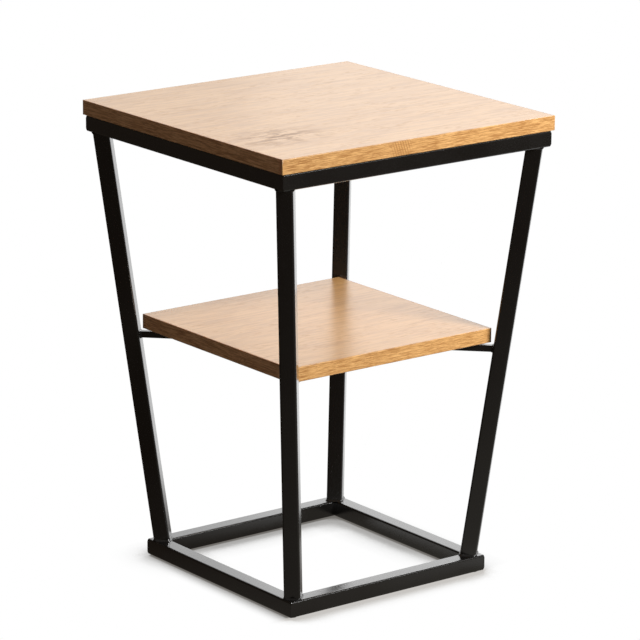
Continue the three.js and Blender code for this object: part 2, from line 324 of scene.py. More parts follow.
def edge_mask_group() -> Tree:
    """Builds the edge mask: where a surface turns sharply, broken up by fine noise.

    Returns:
        The group, which gives a mask of the edges that the finishes paint paler, partly as wear and partly as
        a painted highlight.
    """
    group, n, start, end = open_group(
        "edge_mask", {"Vector": VECTOR, "Radius": FLOAT, "Break Up": FLOAT}, {"Mask": FLOAT})
    soft = n.add("ShaderNodeBevel", {"Radius": start["Radius"]}, samples=4)
    plain = n.add("ShaderNodeNewGeometry")
    dot = n.vector_math("DOT_PRODUCT", soft.outputs["Normal"], plain.outputs["Normal"])
    edge = n.span(dot["Value"], *EDGE_TURN, 1.0, 0.0)
    grit = n.span(EDGE_GRIT.build(n, start["Vector"]), *GRIT_SWING)
    broken = n.math("SUBTRACT", 1.0, n.times(start["Break Up"], grit))
    n.feed(end["Mask"], n.math("MULTIPLY", edge, broken, clamp=True))
    return group


def fine_skin_group() -> Tree:
    """Builds the fine skin of a coated or moulded surface: a soft pebble, specks and slow patches.

    Returns:
        The group, which gives a height and a slow variation.
    """
    group, n, start, end = open_group(
        "fine_skin", {"Vector": VECTOR, "Pebble Size": FLOAT, "Speck": FLOAT},
        {"Height": FLOAT, "Patches": FLOAT})
    scale = n.math("DIVIDE", 1.0, start["Pebble Size"])
    stretch = n.add("ShaderNodeVectorMath", {0: start["Vector"], "Scale": scale}, operation="SCALE")
    pebble = n.noise(stretch.outputs[0], 2.0, 0.5)
    speck = n.noise(stretch.outputs[0], 1.0, 0.5, scale=SPECKS_PER_PEBBLE)
    n.feed(end["Height"], n.math("ADD", pebble, n.times(speck, start["Speck"])))
    n.feed(end["Patches"], SLOW_PATCHES.build(n, start["Vector"]))
    return group


def sweep_axes_group() -> Tree:
    """Builds the axes of the white paper sweep that stands behind the table.

    Returns:
        The group, which says how far back along the sweep a place or direction is, and how far to
        its right.
    """
    group, n, start, end = open_group("sweep_axes", {"Vector": VECTOR}, {"Behind": FLOAT, "Aside": FLOAT})
    x, y, _ = n.parts(start["Vector"])
    east, north = math.sin(SWEEP_HEADING), math.cos(SWEEP_HEADING)
    n.feed(end["Behind"], n.math("ADD", n.times(x, east), n.times(y, north)))
    n.feed(end["Aside"], n.math("SUBTRACT", n.times(x, north), n.times(y, east)))
    return group


@dataclass
class SharedGroups:
    """The node groups that more than one finish uses, each built once."""

    oak_figure: Tree = field(default_factory=oak_figure_group)
    edge_mask: Tree = field(default_factory=edge_mask_group)
    fine_skin: Tree = field(default_factory=fine_skin_group)


def empty_nodes(owner: Material | bpy.types.World) -> Nodes:
    """Empties the node tree of a material or world.

    Args:
        owner: The material or world.

    Returns:
        Its nodes.
    """
    owner.use_nodes = True
    owner.node_tree.nodes.clear()
    return Nodes(owner.node_tree)


def start_material(name: str) -> tuple[Material, Nodes, Sockets, Socket]:
    """Makes a material with a Principled shader and object coordinates.

    Args:
        name: The material's name.

    Returns:
        The material, its nodes, the shader's inputs and the coordinates.
    """
    material = bpy.data.materials.new(name)
    n = empty_nodes(material)
    shader = n.add("ShaderNodeBsdfPrincipled")
    n.add("ShaderNodeOutputMaterial", {"Surface": shader.outputs[0]})
    return material, n, shader.inputs, n.add("ShaderNodeTexCoord").outputs["Object"]


def add_bump(n: Nodes, shader: Sockets, height: Socket, strength: float, distance: float) -> None:
    """Gives a shader a bumpy normal, on which a height of 1 stands a distance high."""
    bump = n.add("ShaderNodeBump", {"Strength": strength, "Distance": distance, "Height": height})
    n.feed(shader["Normal"], bump.outputs[0])


def solid(colour: Colour) -> tuple[float, float, float, float]:
    """The colour with full alpha."""
    return (*colour, 1.0)


@dataclass(frozen=True)
class OakFinish:
    """A printed oak surface, under a satin lacquer."""

    name: str
    light: Colour
    middle: Colour
    dark: Colour
    grain: Grain = Grain.ALONG_X
    scale_along: float = 1.0
    scale_across: float = 1.0
    band_depth: float = 0.5
    line_depth: float = 0.45
    fibre_depth: float = 0.35
    pore_depth: float = 0.5
    cloud_depth: float = 0.3
    shift: Triple = (0.0, 0.0, 0.0)
    roughness: float = 0.36
    roughness_swing: float = 0.05
    pore_roughness: float = 0.12
    lacquer: float = 0.74
    lacquer_roughness: float = 0.25
    bump: float = 0.15
    bump_distance: float = 0.05 * MM
    # Paler edges: partly wear, partly a painted highlight
    edge_highlight_and_wear: float = 0.3
    edge_radius: float = 0.9 * MM
    edge_gain: float = 1.25
    edge_lift: float = 0.08
    edge_break_up: float = 0.5
    # Painted light: the band is painted lighter towards +X and darker towards -X by this share, over this
    # reach either side of the middle
    drift: float = 0.0
    drift_reach: float = 0.2
    saw_reach: Span = (-48 * MM, -13 * MM)
    saw_pitch: float = 3.6 * MM
    saw_slant: float = 0.35
    saw_fade: float = 8 * MM
    shelf_clear: float = 0.5
    corner_stain: float = 0.0
    stain: Colour = (0.46, 0.15, 0.055)
    stain_reach: Span = (-197 * MM, -192 * MM)
    smudge: float = 0.0
    smudge_tone: Colour = (0.33, 0.155, 0.05)
    smudge_dulling: float = 0.6
    smudge_at: Triple = (-128 * MM, -102 * MM, 570 * MM)
    smudge_squeeze: float = 1.5
    smudge_fade: Span = (10 * MM, 85 * MM)

    def build(self, groups: SharedGroups) -> Material:
        """Builds the material.

        Args:
            groups: The shared node groups.

        Returns:
            The material.
        """
        material, n, shader, place = start_material(self.name)
        turn, scale = (0.0, 0.0, 0.0), (self.scale_along, self.scale_across, self.scale_across)
        if self.grain is Grain.ALONG_Y:
            turn, scale = (0.0, 0.0, -QUARTER), (self.scale_across, self.scale_along, self.scale_across)
        oak = n.place(
            groups.oak_figure, Vector=n.mapping(place, scale, turn, self.shift), Light=solid(self.light),
            Middle=solid(self.middle), Dark=solid(self.dark), Band_Depth=self.band_depth,
            Line_Depth=self.line_depth, Fibre_Depth=self.fibre_depth, Pore_Depth=self.pore_depth,
            Cloud_Depth=self.cloud_depth)
        edge = n.place(groups.edge_mask, Vector=place, Radius=self.edge_radius,
                       Break_Up=self.edge_break_up)
        # Painted highlight with a little wear: the edges are mixed towards a paler oak
        pale = tuple(min(1.0, self.edge_gain * c + self.edge_lift) for c in self.light)
        colour = n.mix(n.times(edge["Mask"], self.edge_highlight_and_wear), oak["Color"], solid(pale))
        # Painted light: a lighter tone towards +X stands in for the light that falls more on the right of the
        # front faces
        if self.drift:
            x, _, z = n.parts(place)
            tone = n.span(x, -self.drift_reach, self.drift_reach, 1.0 - self.drift, 1.0 + self.drift)
            colour = n.mix(1.0, colour, tone, "MULTIPLY")
            colour = n.mix(self.saw_marks(n, x, z), colour, solid(self.dark))
        n.feed(shader["Coat Weight"], self.lacquer)
        n.feed(shader["Coat Roughness"], self.lacquer_roughness)
        if self.smudge:
            smudges = self.smudge_mask(n, place)
            colour = n.mix(smudges, colour, solid(self.smudge_tone))
            n.feed(shader["Coat Weight"],
                   n.math("MULTIPLY_ADD", smudges, -self.smudge_dulling, self.lacquer))
        if self.corner_stain:
            _, y, z = n.parts(place)
            stain = n.times(n.span(y, *self.stain_reach, self.corner_stain, 0.0),
                            n.math("GREATER_THAN", z, self.shelf_clear))
            colour = n.mix(stain, colour, solid(self.stain))
        n.feed(shader["Base Color"], colour)
        rough = n.span(oak["Fibres"], *NOISE_SWING, self.roughness - self.roughness_swing,
                       self.roughness + self.roughness_swing)
        n.feed(shader["Roughness"], n.math("ADD", rough, n.times(oak["Pores"], self.pore_roughness)))
        height = n.math("SUBTRACT", n.times(oak["Fibres"], 0.5), oak["Pores"])
        add_bump(n, shader, height, self.bump, self.bump_distance)
        return material

    def saw_marks(self, n: Nodes, x: Socket, z: Socket) -> Socket:
        """Adds a short run of upright saw marks to the top's band, and none to the shelf's.

        Args:
            n: The material's nodes.
            x: The place along the band.
            z: The height.

        Returns:
            Their mask.
        """
        low, high = self.saw_reach
        slanted = n.math("MULTIPLY_ADD", z, self.saw_slant, x)
        wave = n.math("SINE", n.times(slanted, 2 * math.pi / self.saw_pitch))
        run = n.times(n.span(x, low, low + self.saw_fade), n.span(x, high - self.saw_fade, high, 1.0, 0.0))
        above = n.span(z, self.shelf_clear, self.shelf_clear + self.saw_fade)
        return n.times(n.times(run, n.span(wave, 0.0, 1.0)), above)

    def smudge_mask(self, n: Nodes, place: Socket) -> Socket:
        """Adds a cluster of darker smudges in the printed figure.

        Args:
            n: The material's nodes.
            place: The object coordinates.

        Returns:
            Their mask.
        """
        scale = (1.0, self.smudge_squeeze, 1.0)
        shift = tuple(-share * at for share, at in zip(scale, self.smudge_at))
        away = n.vector_math("LENGTH", n.mapping(place, scale, shift=shift))["Value"]
        grit = n.span(SMUDGE_GRIT.build(n, place), *SMUDGE_SWING)
        broken = n.times(n.span(away, *self.smudge_fade, 1.0, 0.0), grit)
        return n.times(broken, self.smudge)


@dataclass(frozen=True)
class SkinFinish:
    """A coated, plated or moulded surface: a fine pebbled skin, slow patches and paler edges, partly wear and
    partly a painted highlight.
    """

    name: str
    colour: Colour
    patch_colour: Colour
    edge_colour: Colour
    roughness: float = 0.5
    metallic: float = 0.0
    coat: float = 0.0
    coat_roughness: float = 0.03
    coat_ior: float = 1.5
    follows: SkinOutput = SkinOutput.HEIGHT
    followed_swing: Span = (0.4, 0.9)
    roughness_swing: Span = (-0.06, 0.08)
    pebble: float = 0.5 * MM
    speck: float = 0.4
    bump: float = 0.2
    bump_distance: float = 0.03 * MM
    # Paler edges: partly wear, partly a painted highlight
    edge_highlight_and_wear: float = 0.5
    edge_radius: float = 0.3 * MM
    edge_break_up: float = 0.4

    def build(self, groups: SharedGroups) -> Material:
        """Builds the material.

        Args:
            groups: The shared node groups.

        Returns:
            The material.
        """
        material, n, shader, place = start_material(self.name)
        skin = n.place(groups.fine_skin, Vector=place, Pebble_Size=self.pebble, Speck=self.speck)
        edge = n.place(groups.edge_mask, Vector=place, Radius=self.edge_radius,
                       Break_Up=self.edge_break_up)
        patches = n.span(skin["Patches"], *PATCH_SWING)
        colour = n.mix(patches, solid(self.colour), solid(self.patch_colour))
        # Painted highlight with a little wear: the edges are mixed towards the paler edge colour
        lit_and_worn_edges = n.times(edge["Mask"], self.edge_highlight_and_wear)
        low, high = (self.roughness + swing for swing in self.roughness_swing)
        rough = n.span(skin[self.follows.value], *self.followed_swing, low, high)
        looks = {"Base Color": n.mix(lit_and_worn_edges, colour, solid(self.edge_colour)), "Roughness": rough,
                 "Metallic": self.metallic, "Coat Weight": self.coat,
                 "Coat Roughness": self.coat_roughness, "Coat IOR": self.coat_ior}
        for name, value in looks.items():
            n.feed(shader[name], value)
        add_bump(n, shader, skin["Height"], self.bump, self.bump_distance)
        return material


@dataclass(frozen=True)
class PowderCoat(SkinFinish):
    """A black powder coat, with slow patches in its roughness and its gloss."""

    roughness: float = 0.25
    coat: float = 1.0
    coat_roughness: float = 0.19
    coat_ior: float = 1.8
    follows: SkinOutput = SkinOutput.PATCHES
    followed_swing: Span = NOISE_SWING
    roughness_swing: Span = (-0.04, 0.04)
    pebble: float = 1.1 * MM
    speck: float = 0.3
    bump: float = 0.07
    bump_distance: float = 0.04 * MM
    # Paler edges on the black coat: partly wear, partly a painted highlight
    edge_highlight_and_wear: float = 0.1
    edge_radius: float = 0.8 * MM
    edge_break_up: float = 0.6


@dataclass
class Finishes:
    """Every finish on the nightstand, built from the shared groups."""

    groups: SharedGroups = field(default_factory=SharedGroups)

    def __post_init__(self) -> None:
        """Builds the materials."""
        decor = {"light": (0.78, 0.445, 0.17), "middle": (0.70, 0.382, 0.136),
                 "dark": (0.55, 0.278, 0.09), "band_depth": 0.15, "line_depth": 0.7,
                 "fibre_depth": 0.55, "pore_depth": 0.75, "scale_along": 1.3, "scale_across": 1.1}
        strong = {"band_depth": 0.3, "line_depth": 2.0, "fibre_depth": 0.9, "pore_depth": 0.9,
                  "cloud_depth": 0.2, "scale_along": 3.8, "scale_across": 5.8}
        self.top_decor = OakFinish("oak_decor_top", **decor, smudge=1.0).build(self.groups)
        self.shelf_decor = OakFinish("oak_decor_shelf", **decor, shift=(0.37, 0.21, 0.9)).build(self.groups)
        # The front and back bands carry a painted light gradient, lighter towards +X
        self.band_x = OakFinish(
            "oak_band_along_x", (0.765, 0.43, 0.16), (0.63, 0.336, 0.114), (0.40, 0.177, 0.048),
            **strong, drift=0.13, shift=(0.1, 0.3, 0.2)).build(self.groups)
        # Painted shade: the side bands are redder and a little darker than the front and back bands, standing
        # in for the warm shade on the table's left face
        self.band_y = OakFinish(
            "oak_band_along_y", (0.72, 0.355, 0.150), (0.60, 0.28, 0.105), (0.38, 0.15, 0.045),
            Grain.ALONG_Y, **strong, corner_stain=0.8, shift=(0.6, 0.1, 0.4)).build(self.groups)
        self.powder = PowderCoat(
            "black_powder_coat", (0.0030, 0.0025, 0.0021), (0.0040, 0.0035, 0.0030),
            (0.05, 0.048, 0.045)).build(self.groups)
        self.weld = PowderCoat(
            "black_powder_coat_on_weld", (0.0030, 0.0026, 0.0023), (0.0045, 0.0040, 0.0036),
            (0.02, 0.019, 0.018), roughness=0.42, coat=0.6).build(self.groups)
        self.zinc = SkinFinish(
            "zinc_plate", (0.55, 0.56, 0.58), (0.62, 0.62, 0.60), (0.745, 0.758, 0.784),
            roughness=0.32, metallic=1.0, bump=0.1).build(self.groups)
        self.rubber = SkinFinish(
            "black_rubber", (0.012, 0.012, 0.013), (0.018, 0.018, 0.018), (0.0456, 0.0456, 0.0469),
            roughness=0.75).build(self.groups)
        self.glide = SkinFinish(
            "glide_plastic", (0.02, 0.02, 0.021), (0.028, 0.028, 0.028), (0.056, 0.056, 0.0573),
            roughness=0.55).build(self.groups)


# Mesh helpers


def add_object(name: str, data: bpy.types.ID) -> bpy.types.Object:
    """Adds an object to the scene.

    Args:
        name: Its name.
        data: Its mesh, light or camera.

    Returns:
        The object.
    """
    made = bpy.data.objects.new(name, data)
    bpy.context.scene.collection.objects.link(made)
    return made


def add_mesh(bm: BMesh, name: str, material: Material) -> bpy.types.Object:
    """Turns a bmesh into an object and frees it.

    Args:
        bm: The bmesh.
        name: The object's name.
        material: Its material.

    Returns:
        The object.
    """
    mesh = bpy.data.meshes.new(name)
    bm.to_mesh(mesh)
    bm.free()
    mesh.materials.append(material)
    return add_object(name, mesh)


def finish_piece(bm: BMesh, node: str, part: str, material: Material, slot: str = STEEL_SLOT,
                 smooth_angle: float = 40.0) -> None:
    """Turns a bmesh into a piece that rides on the frame.

    Args:
        bm: The shape, in place. It is freed.
        node: The solid that it stands for.
        part: What the piece is, for its name.
        material: Its finish.
        slot: The record's material slot. Not used.
        smooth_angle: Edges that turn less than this, in degrees, are shaded smooth.
    """
    name = f"{node}_{part}"
    bmesh.ops.remove_doubles(bm, verts=bm.verts, dist=MERGE_DISTANCE)
    bmesh.ops.recalc_face_normals(bm, faces=bm.faces)
    limit = math.radians(smooth_angle)
    for face in bm.faces:
        face.smooth = True
    for edge in bm.edges:
        edge.smooth = edge.calc_face_angle(math.pi) < limit
    piece = add_mesh(bm, name, material)
    flats = piece.modifiers.new("true_flats", "WEIGHTED_NORMAL")
    flats.mode = "FACE_AREA"
    flats.weight = 90
    flats.keep_sharp = True
    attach(piece, "root")
    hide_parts(node)
    LOG.info("%s: %d faces, stands for %s", name, len(piece.data.polygons), node)


def same(first: float, second: float) -> bool:
    """Whether two coordinates are the same place."""
    return abs(first - second) < SAME_PLACE


def everything(bm: BMesh) -> list[object]:
    """Every vertex, edge and face of a bmesh."""
    return [*bm.verts, *bm.edges, *bm.faces]


def move(bm: BMesh, matrix: Matrix) -> None:
    """Moves everything in a bmesh."""
    bmesh.ops.transform(bm, matrix=matrix, verts=list(bm.verts))


def ease(bm: BMesh, geom: list[object], offset: float, segments: int, affect: str = "EDGES") -> None:
    """Rounds edges, or corners where affect is VERTICES."""
    bmesh.ops.bevel(bm, geom=geom, offset=offset, offset_type="OFFSET", segments=segments, profile=0.5,
                    affect=affect, material=-1)


def add_box(bm: BMesh, low: Vector, high: Vector) -> None:
    """Adds a box between its lowest and its highest corner."""
    place = Matrix.Translation((low + high) / 2) @ Matrix.Diagonal((*(high - low), 1.0))
    bmesh.ops.create_cube(bm, size=1.0, matrix=place)


def rounded_square(bm: BMesh, side: float, radius: float, segments: int) -> bmesh.types.BMFace:
    """Adds a flat square with rounded corners, centred on the origin.

    Args:
        bm: The bmesh.
        side: The square's side.
        radius: Its corner radius.
        segments: The steps round each corner.

    Returns:
        The face.
    """
    bmesh.ops.create_grid(bm, x_segments=1, y_segments=1, size=side / 2)
    ease(bm, list(bm.verts), radius, segments, "VERTICES")
    return bm.faces[:][0]


def close_cut(bm: BMesh, co: Vector, no: Vector) -> None:
    """Cuts everything on the far side of a plane away and closes the cut, hollow sections included.

    Args:
        bm: The bmesh.
        co: A point on the plane.
        no: The plane's normal, towards what goes.
    """
    cut = bmesh.ops.bisect_plane(bm, geom=everything(bm), dist=CUT_TOLERANCE, plane_co=co, plane_no=no,
                                 clear_outer=True)
    edges = [e for e in cut["geom_cut"] if isinstance(e, bmesh.types.BMEdge) and e.is_boundary]
    if edges:
        bmesh.ops.triangle_fill(bm, edges=edges, use_beauty=True, use_dissolve=True, normal=no)


def add_bead(bm: BMesh, side: float, radius: float, segments: int, cuts: int, profile: Profile,
             place: Callable[[Vector, float, float], Vector]) -> None:
    """Adds a closed weld bead round a rounded square.

    Args:
        bm: The bmesh, empty.
        side: The square's side.
        radius: Its corner radius.
        segments: The steps round each corner.
        cuts: The cuts in each straight run.
        profile: The bead's section, as shares of its spread and its length, from the joint at the
            tube's skin round to where it dies out on the tube.
        place: Gives a point of the bead from its point on the square and its two shares.
    """
    rounded_square(bm, side, radius, segments)
    bmesh.ops.delete(bm, geom=list(bm.faces), context="FACES_ONLY")
    straights = [e for e in bm.edges if e.calc_length() > side / 4]
    bmesh.ops.subdivide_edges(bm, edges=straights, cuts=cuts)
    rings, columns = [list(bm.edges)], [list(bm.verts)]
    for _ in profile[1:]:
        grown = bmesh.ops.extrude_edge_only(bm, edges=rings[-1])["geom"]
        rings.append([g for g in grown if isinstance(g, bmesh.types.BMEdge)
                      and all(v in grown for v in g.verts)])
        columns.append([g for g in grown if isinstance(g, bmesh.types.BMVert)])
    for (spread, length), verts in zip(profile, columns):
        for v in verts:
            v.co = place(v.co.copy(), spread, length)
    bmesh.ops.bridge_loops(bm, edges=rings[0] + rings[-1])


@dataclass(frozen=True)
class Tube:
    """The square tube of the frame."""

    side: float = 20 * MM
    wall: float = 1.5 * MM
    corner: float = 2.5 * MM
    segments: int = 6

    def length(self, bm: BMesh, low: float, high: float) -> None:
        """Adds a straight piece of tube that stands along Z.

        Args:
            bm: The bmesh, empty.
            low: The height of its lower end.
            high: The height of its upper end.
        """
        bore = rounded_square(bm, self.side, self.corner, self.segments)
        section = bmesh.ops.inset_region(bm, faces=[bore], thickness=self.wall, use_even_offset=True,
                                         use_boundary=True)["faces"]
        bmesh.ops.delete(bm, geom=[bore], context="FACES")
        move(bm, Matrix.Translation((0, 0, low)))
        raised = bmesh.ops.extrude_face_region(bm, geom=section, use_keep_orig=True)
        tops = [v for v in raised["geom"] if isinstance(v, bmesh.types.BMVert)]
        bmesh.ops.translate(bm, verts=tops, vec=(0, 0, high - low))
        bmesh.ops.recalc_face_normals(bm, faces=list(bm.faces))


# Boards


@dataclass
class BandedBoard:
    """A square coated board with a glued band on each edge."""

    label: str
    width: float
    underside: float
    decor: Material
    band_x: Material
    band_y: Material
    thickness: float = 18 * MM
    band: float = 2 * MM
    arris: float = 1 * MM
    arris_steps: int = 5
    end_arris: float = 0.6 * MM
    end_arris_steps: int = 3
    glue_line: float = 0.12 * MM
    glue_line_steps: int = 2

    def build(self) -> None:
        """Builds the panel and its four bands."""
        self.build_panel()
        for side in Side:
            self.build_band(side)

    def build_panel(self) -> None:
        """Builds the panel, its edges eased by the width of the glue line."""
        half = self.width / 2 - self.band
        bm = bmesh.new()
        add_box(bm, Vector((-half, -half, self.underside)),
                Vector((half, half, self.underside + self.thickness)))
        ease(bm, list(bm.edges), self.glue_line, self.glue_line_steps)
        finish_piece(bm, f"{self.label}_panel", "board", self.decor, "oak_decor")

    def build_band(self, side: Side) -> None:
        """Builds the band on one side.

        Args:
            side: The side of the board.
        """
        runs_to_corners = side in (Side.FRONT, Side.BACK)
        half = self.width / 2 - (0 if runs_to_corners else self.band)
        outer = -self.width / 2
        bm = bmesh.new()
        add_box(bm, Vector((-half, outer, self.underside)),
                Vector((half, outer + self.band, self.underside + self.thickness)))
        eased = [e for e in bm.edges if all(same(v.co.y, outer) for v in e.verts)]
        if not runs_to_corners:
            eased = [e for e in eased if same(e.verts[0].co.z, e.verts[1].co.z)]
        ease(bm, eased, self.arris, self.arris_steps)
        if runs_to_corners:
            ends = [e for e in bm.edges if same(e.verts[0].co.x, e.verts[1].co.x)
                    and same(abs(e.verts[0].co.x), half) and same(e.verts[0].co.z, e.verts[1].co.z)
                    and e.calc_face_angle(0.0) > 1.0]
            ease(bm, ends, self.end_arris, self.end_arris_steps)
        move(bm, side.turn)
        material = self.band_x if runs_to_corners else self.band_y
        finish_piece(bm, f"{self.label}_edge_band_{side.label}", "strip", material, "oak_band")


# Frame


@dataclass
class FrameRing:
    """A square ring of tube, mitred and welded, with its corners ground round."""

    label: str
    width: float
    underside: float
    finish: Material
    screw_offsets: tuple[float, ...] = ()
    tube: Tube = field(default_factory=Tube)
    ground_radius: float = 1.6 * MM
    ground_cuts: int = 4
    stand_off: float = 0.2 * MM
    ball_radius: float = 2.5 * MM
    ball_tilts: tuple[int, ...] = (20, 35, 50, 65)
    driver_hole: float = 10 * MM
    shank_hole: float = 4.5 * MM
    hole_steps: int = 32
    hole_margin: float = 0.6 * MM

    @property
    def middle(self) -> float:
        """The front rail's centre line along Y."""
        return (self.tube.side - self.width) / 2

    def build(self) -> None:
        """Builds the four rails."""
        for side in Side:
            self.build_rail(side)

    def build_rail(self, side: Side) -> None:
        """Builds one rail: a straight tube, cut to its mitres, with its tips ground round.

        Args:
            side: The side of the ring.
        """
        bm = bmesh.new()
        self.tube.length(bm, -self.width / 2, self.width / 2)
        level = self.underside + self.tube.side / 2
        move(bm, Matrix.Translation((0, self.middle, level)) @ Matrix.Rotation(QUARTER, 4, "Y"))
        for heading in (-1, 1):
            close_cut(bm, Vector((0, 0, 0)), Vector((heading, 1, 0)).normalized())
            self.grind_tip(bm, heading)
        upper_wall = self.underside + self.tube.side - self.tube.wall
        for offset in self.screw_offsets:
            self.pierce(bm, offset, self.underside, self.driver_hole)
            self.pierce(bm, offset, upper_wall, self.shank_hole)
        move(bm, side.turn)
        finish_piece(bm, f"{self.label}_rail_{side.label}", "tube", self.finish)

    def grind_tip(self, bm: BMesh, heading: int) -> None:
        """Rounds the outer tip of a mitre by flat cuts that follow an arc, and a ball above and below.

        Args:
            bm: The rail.
            heading: The end, -1 or 1 along X.
        """
        centre = self.width / 2 + self.stand_off - self.ground_radius
        for k in range(self.ground_cuts):
            angle = math.radians(45) * (k + 0.5) / self.ground_cuts
            no = Vector((heading * math.sin(angle), -math.cos(angle), 0))
            close_cut(bm, Vector((heading * centre, -centre, 0)) + no * self.ground_radius, no)
        inset = self.width / 2 - self.ball_radius
        for end in (-1, 1):
            height = self.underside + self.tube.side / 2 + end * (self.tube.side / 2 - self.ball_radius)
            for tilt in map(math.radians, self.ball_tilts):
                flat = math.cos(tilt) * math.sqrt(0.5)
                no = Vector((heading * flat, -flat, end * math.sin(tilt)))
                close_cut(bm, Vector((heading * inset, -inset, height)) + no * self.ball_radius, no)

    def pierce(self, bm: BMesh, offset: float, low: float, diameter: float) -> None:
        """Cuts a round hole through a flat wall.

        Args:
            bm: The rail, lying along X.
            offset: The hole's place along the rail.
            low: The height of the wall's lower face.
            diameter: The hole's diameter.
        """
        reach = self.tube.side / 2 - self.tube.corner - self.hole_margin
        for axis, centre in ((Vector((1, 0, 0)), offset), (Vector((0, 1, 0)), self.middle)):
            for sign in (-1, 1):
                bmesh.ops.bisect_plane(bm, geom=everything(bm), dist=CUT_TOLERANCE,
                                       plane_co=axis * (centre + sign * reach), plane_no=axis)
        rims = []
        for level in (low, low + self.tube.wall):
            patch = [f for f in bm.faces if abs(f.normal.z) > 0.99 and all(
                same(v.co.z, level) and abs(v.co.x - offset) < reach + SAME_PLACE
                and abs(v.co.y - self.middle) < reach + SAME_PLACE for v in f.verts)]
            border = [e for e in bm.edges if sum(f in patch for f in e.link_faces) == 1]
            bmesh.ops.delete(bm, geom=patch, context="FACES_ONLY")
            loose = [e for e in bm.edges if e.is_wire and all(same(v.co.z, level) for v in e.verts)]
            bmesh.ops.delete(bm, geom=loose, context="EDGES")
            ring = bmesh.ops.create_circle(bm, segments=self.hole_steps, radius=diameter / 2,
                                           matrix=Matrix.Translation((offset, self.middle, level)))
            rim = list(dict.fromkeys(e for v in ring["verts"] for e in v.link_edges))
            border = [e for e in border if e.is_valid]
            bmesh.ops.triangle_fill(bm, edges=border + rim, use_beauty=True)
            rims += rim
        bmesh.ops.bridge_loops(bm, edges=rims)


@dataclass
class LeaningLegs:
    """The four legs: tube turned to the diagonals, leaning outwards, welded at both ends."""

    finish: Material
    weld: Material
    foot_height: float = 22 * MM
    head_height: float = 532 * MM
    top_width: float = 395 * MM
    base_width: float = 295 * MM
    edge_inset: float = 1.1 * MM
    bead_sink: float = 0.2 * MM
    bead_spread: float = 1.6 * MM
    bead_height: float = 2.8 * MM
    bead_edge_inset: float = 0.4 * MM
    bead_profile: Profile = ((0.0, 0.0), (1.0, 0.0), (0.98, 0.08), (0.80, 0.24), (0.50, 0.42),
                             (0.22, 0.66), (0.08, 0.86), (0.0, 1.0))
    ripple: float = 0.05 * MM
    ripple_pitch: float = 1.7 * MM
    ripple_curl: float = 1.4
    wander: float = 0.22 * MM
    wander_scale: float = 160.0
    bead_corner_steps: int = 5
    bead_straight_cuts: int = 19
    tube: Tube = field(default_factory=Tube)

    def reach(self, width: float) -> float:
        """How far out along a diagonal the leg's centre stands on a ring of a width."""
        corner_reach = (self.tube.side / 2 - self.tube.corner) * ROOT_2 + self.tube.corner
        return (width / 2 - self.edge_inset - corner_reach) * ROOT_2

    @property
    def slope(self) -> float:
        """How far the leg leans out along the diagonal for each unit of height."""
        run = self.reach(self.top_width) - self.reach(self.base_width)
        return run / (self.head_height - self.foot_height)

    @property
    def stretch(self) -> float:
        """How much longer the leg's level section is along the diagonal than the tube's own."""
        return math.sqrt(1 + self.slope ** 2)

    @property
    def lean(self) -> Matrix:
        """The shear and shift that lean an upright tube out along +X and keep its ends level."""
        shift = self.reach(self.base_width) - self.slope * self.foot_height
        return Matrix(((self.stretch, 0, self.slope, shift), (0, 1, 0, 0), (0, 0, 1, 0), (0, 0, 0, 1)))

    def inner_reach(self, height: float) -> float:
        """Where the leg's inner face stands along the diagonal at a height."""
        centre = self.reach(self.base_width) + self.slope * (height - self.foot_height)
        return centre - self.tube.side / 2 * self.stretch

    def build(self) -> None:
        """Builds the legs and their weld beads."""
        for corner in Corner:
            bm = bmesh.new()
            self.tube.length(bm, self.foot_height, self.head_height)
            move(bm, corner.turn @ self.lean)
            finish_piece(bm, f"leg_{corner.label}", "tube", self.finish)
            self.build_bead(corner, "foot", self.foot_height, 1, self.base_width)
            self.build_bead(corner, "head", self.head_height, -1, self.top_width)

    def build_bead(self, corner: Corner, end: str, at: float, up: int, ring_width: float) -> None:
        """Builds the weld bead round one end of a leg.

        Args:
            corner: The leg's corner.
            end: The end's name.
            at: The height of the joint.
            up: 1 if the bead climbs from the joint, -1 if it hangs from it.
            ring_width: The width of the ring that it is welded to.
        """
        flat = self.tube.side / 2 - self.tube.corner

        def place(point: Vector, spread: float, climb: float) -> Vector:
            """Puts a point of the bead in place, with its ripples and its uneven width."""
            core = Vector((max(-flat, min(flat, point.x)), max(-flat, min(flat, point.y)), 0))
            run = point.length * math.atan2(point.y, point.x)
            ripple = self.ripple * math.sin(run * 2 * math.pi / self.ripple_pitch
                                            + self.ripple_curl * spread)
            wander = self.wander * noise.noise(
                Vector((*(point.xy * self.wander_scale), at * END_SHIFT + corner.value)))
            out = (point - core).normalized() * spread * (self.bead_spread + ripple + wander)
            return point + out + Vector((0, 0, up * climb * (self.bead_height + wander)))

        bm = bmesh.new()
        add_bead(bm, self.tube.side - 2 * self.bead_sink, self.tube.corner - self.bead_sink,
                 self.bead_corner_steps, self.bead_straight_cuts, self.bead_profile, place)
        move(bm, self.lean @ Matrix.Translation((0, 0, at)))
        edge = (ring_width / 2 - self.bead_edge_inset) * ROOT_2
        for heading in (-1, 1):
            close_cut(bm, Vector((edge, 0, 0)), Vector((1, heading, 0)).normalized())
        move(bm, corner.turn)
        finish_piece(bm, f"leg_{corner.label}", f"{end}_weld", self.weld, smooth_angle=WELD_SMOOTH)


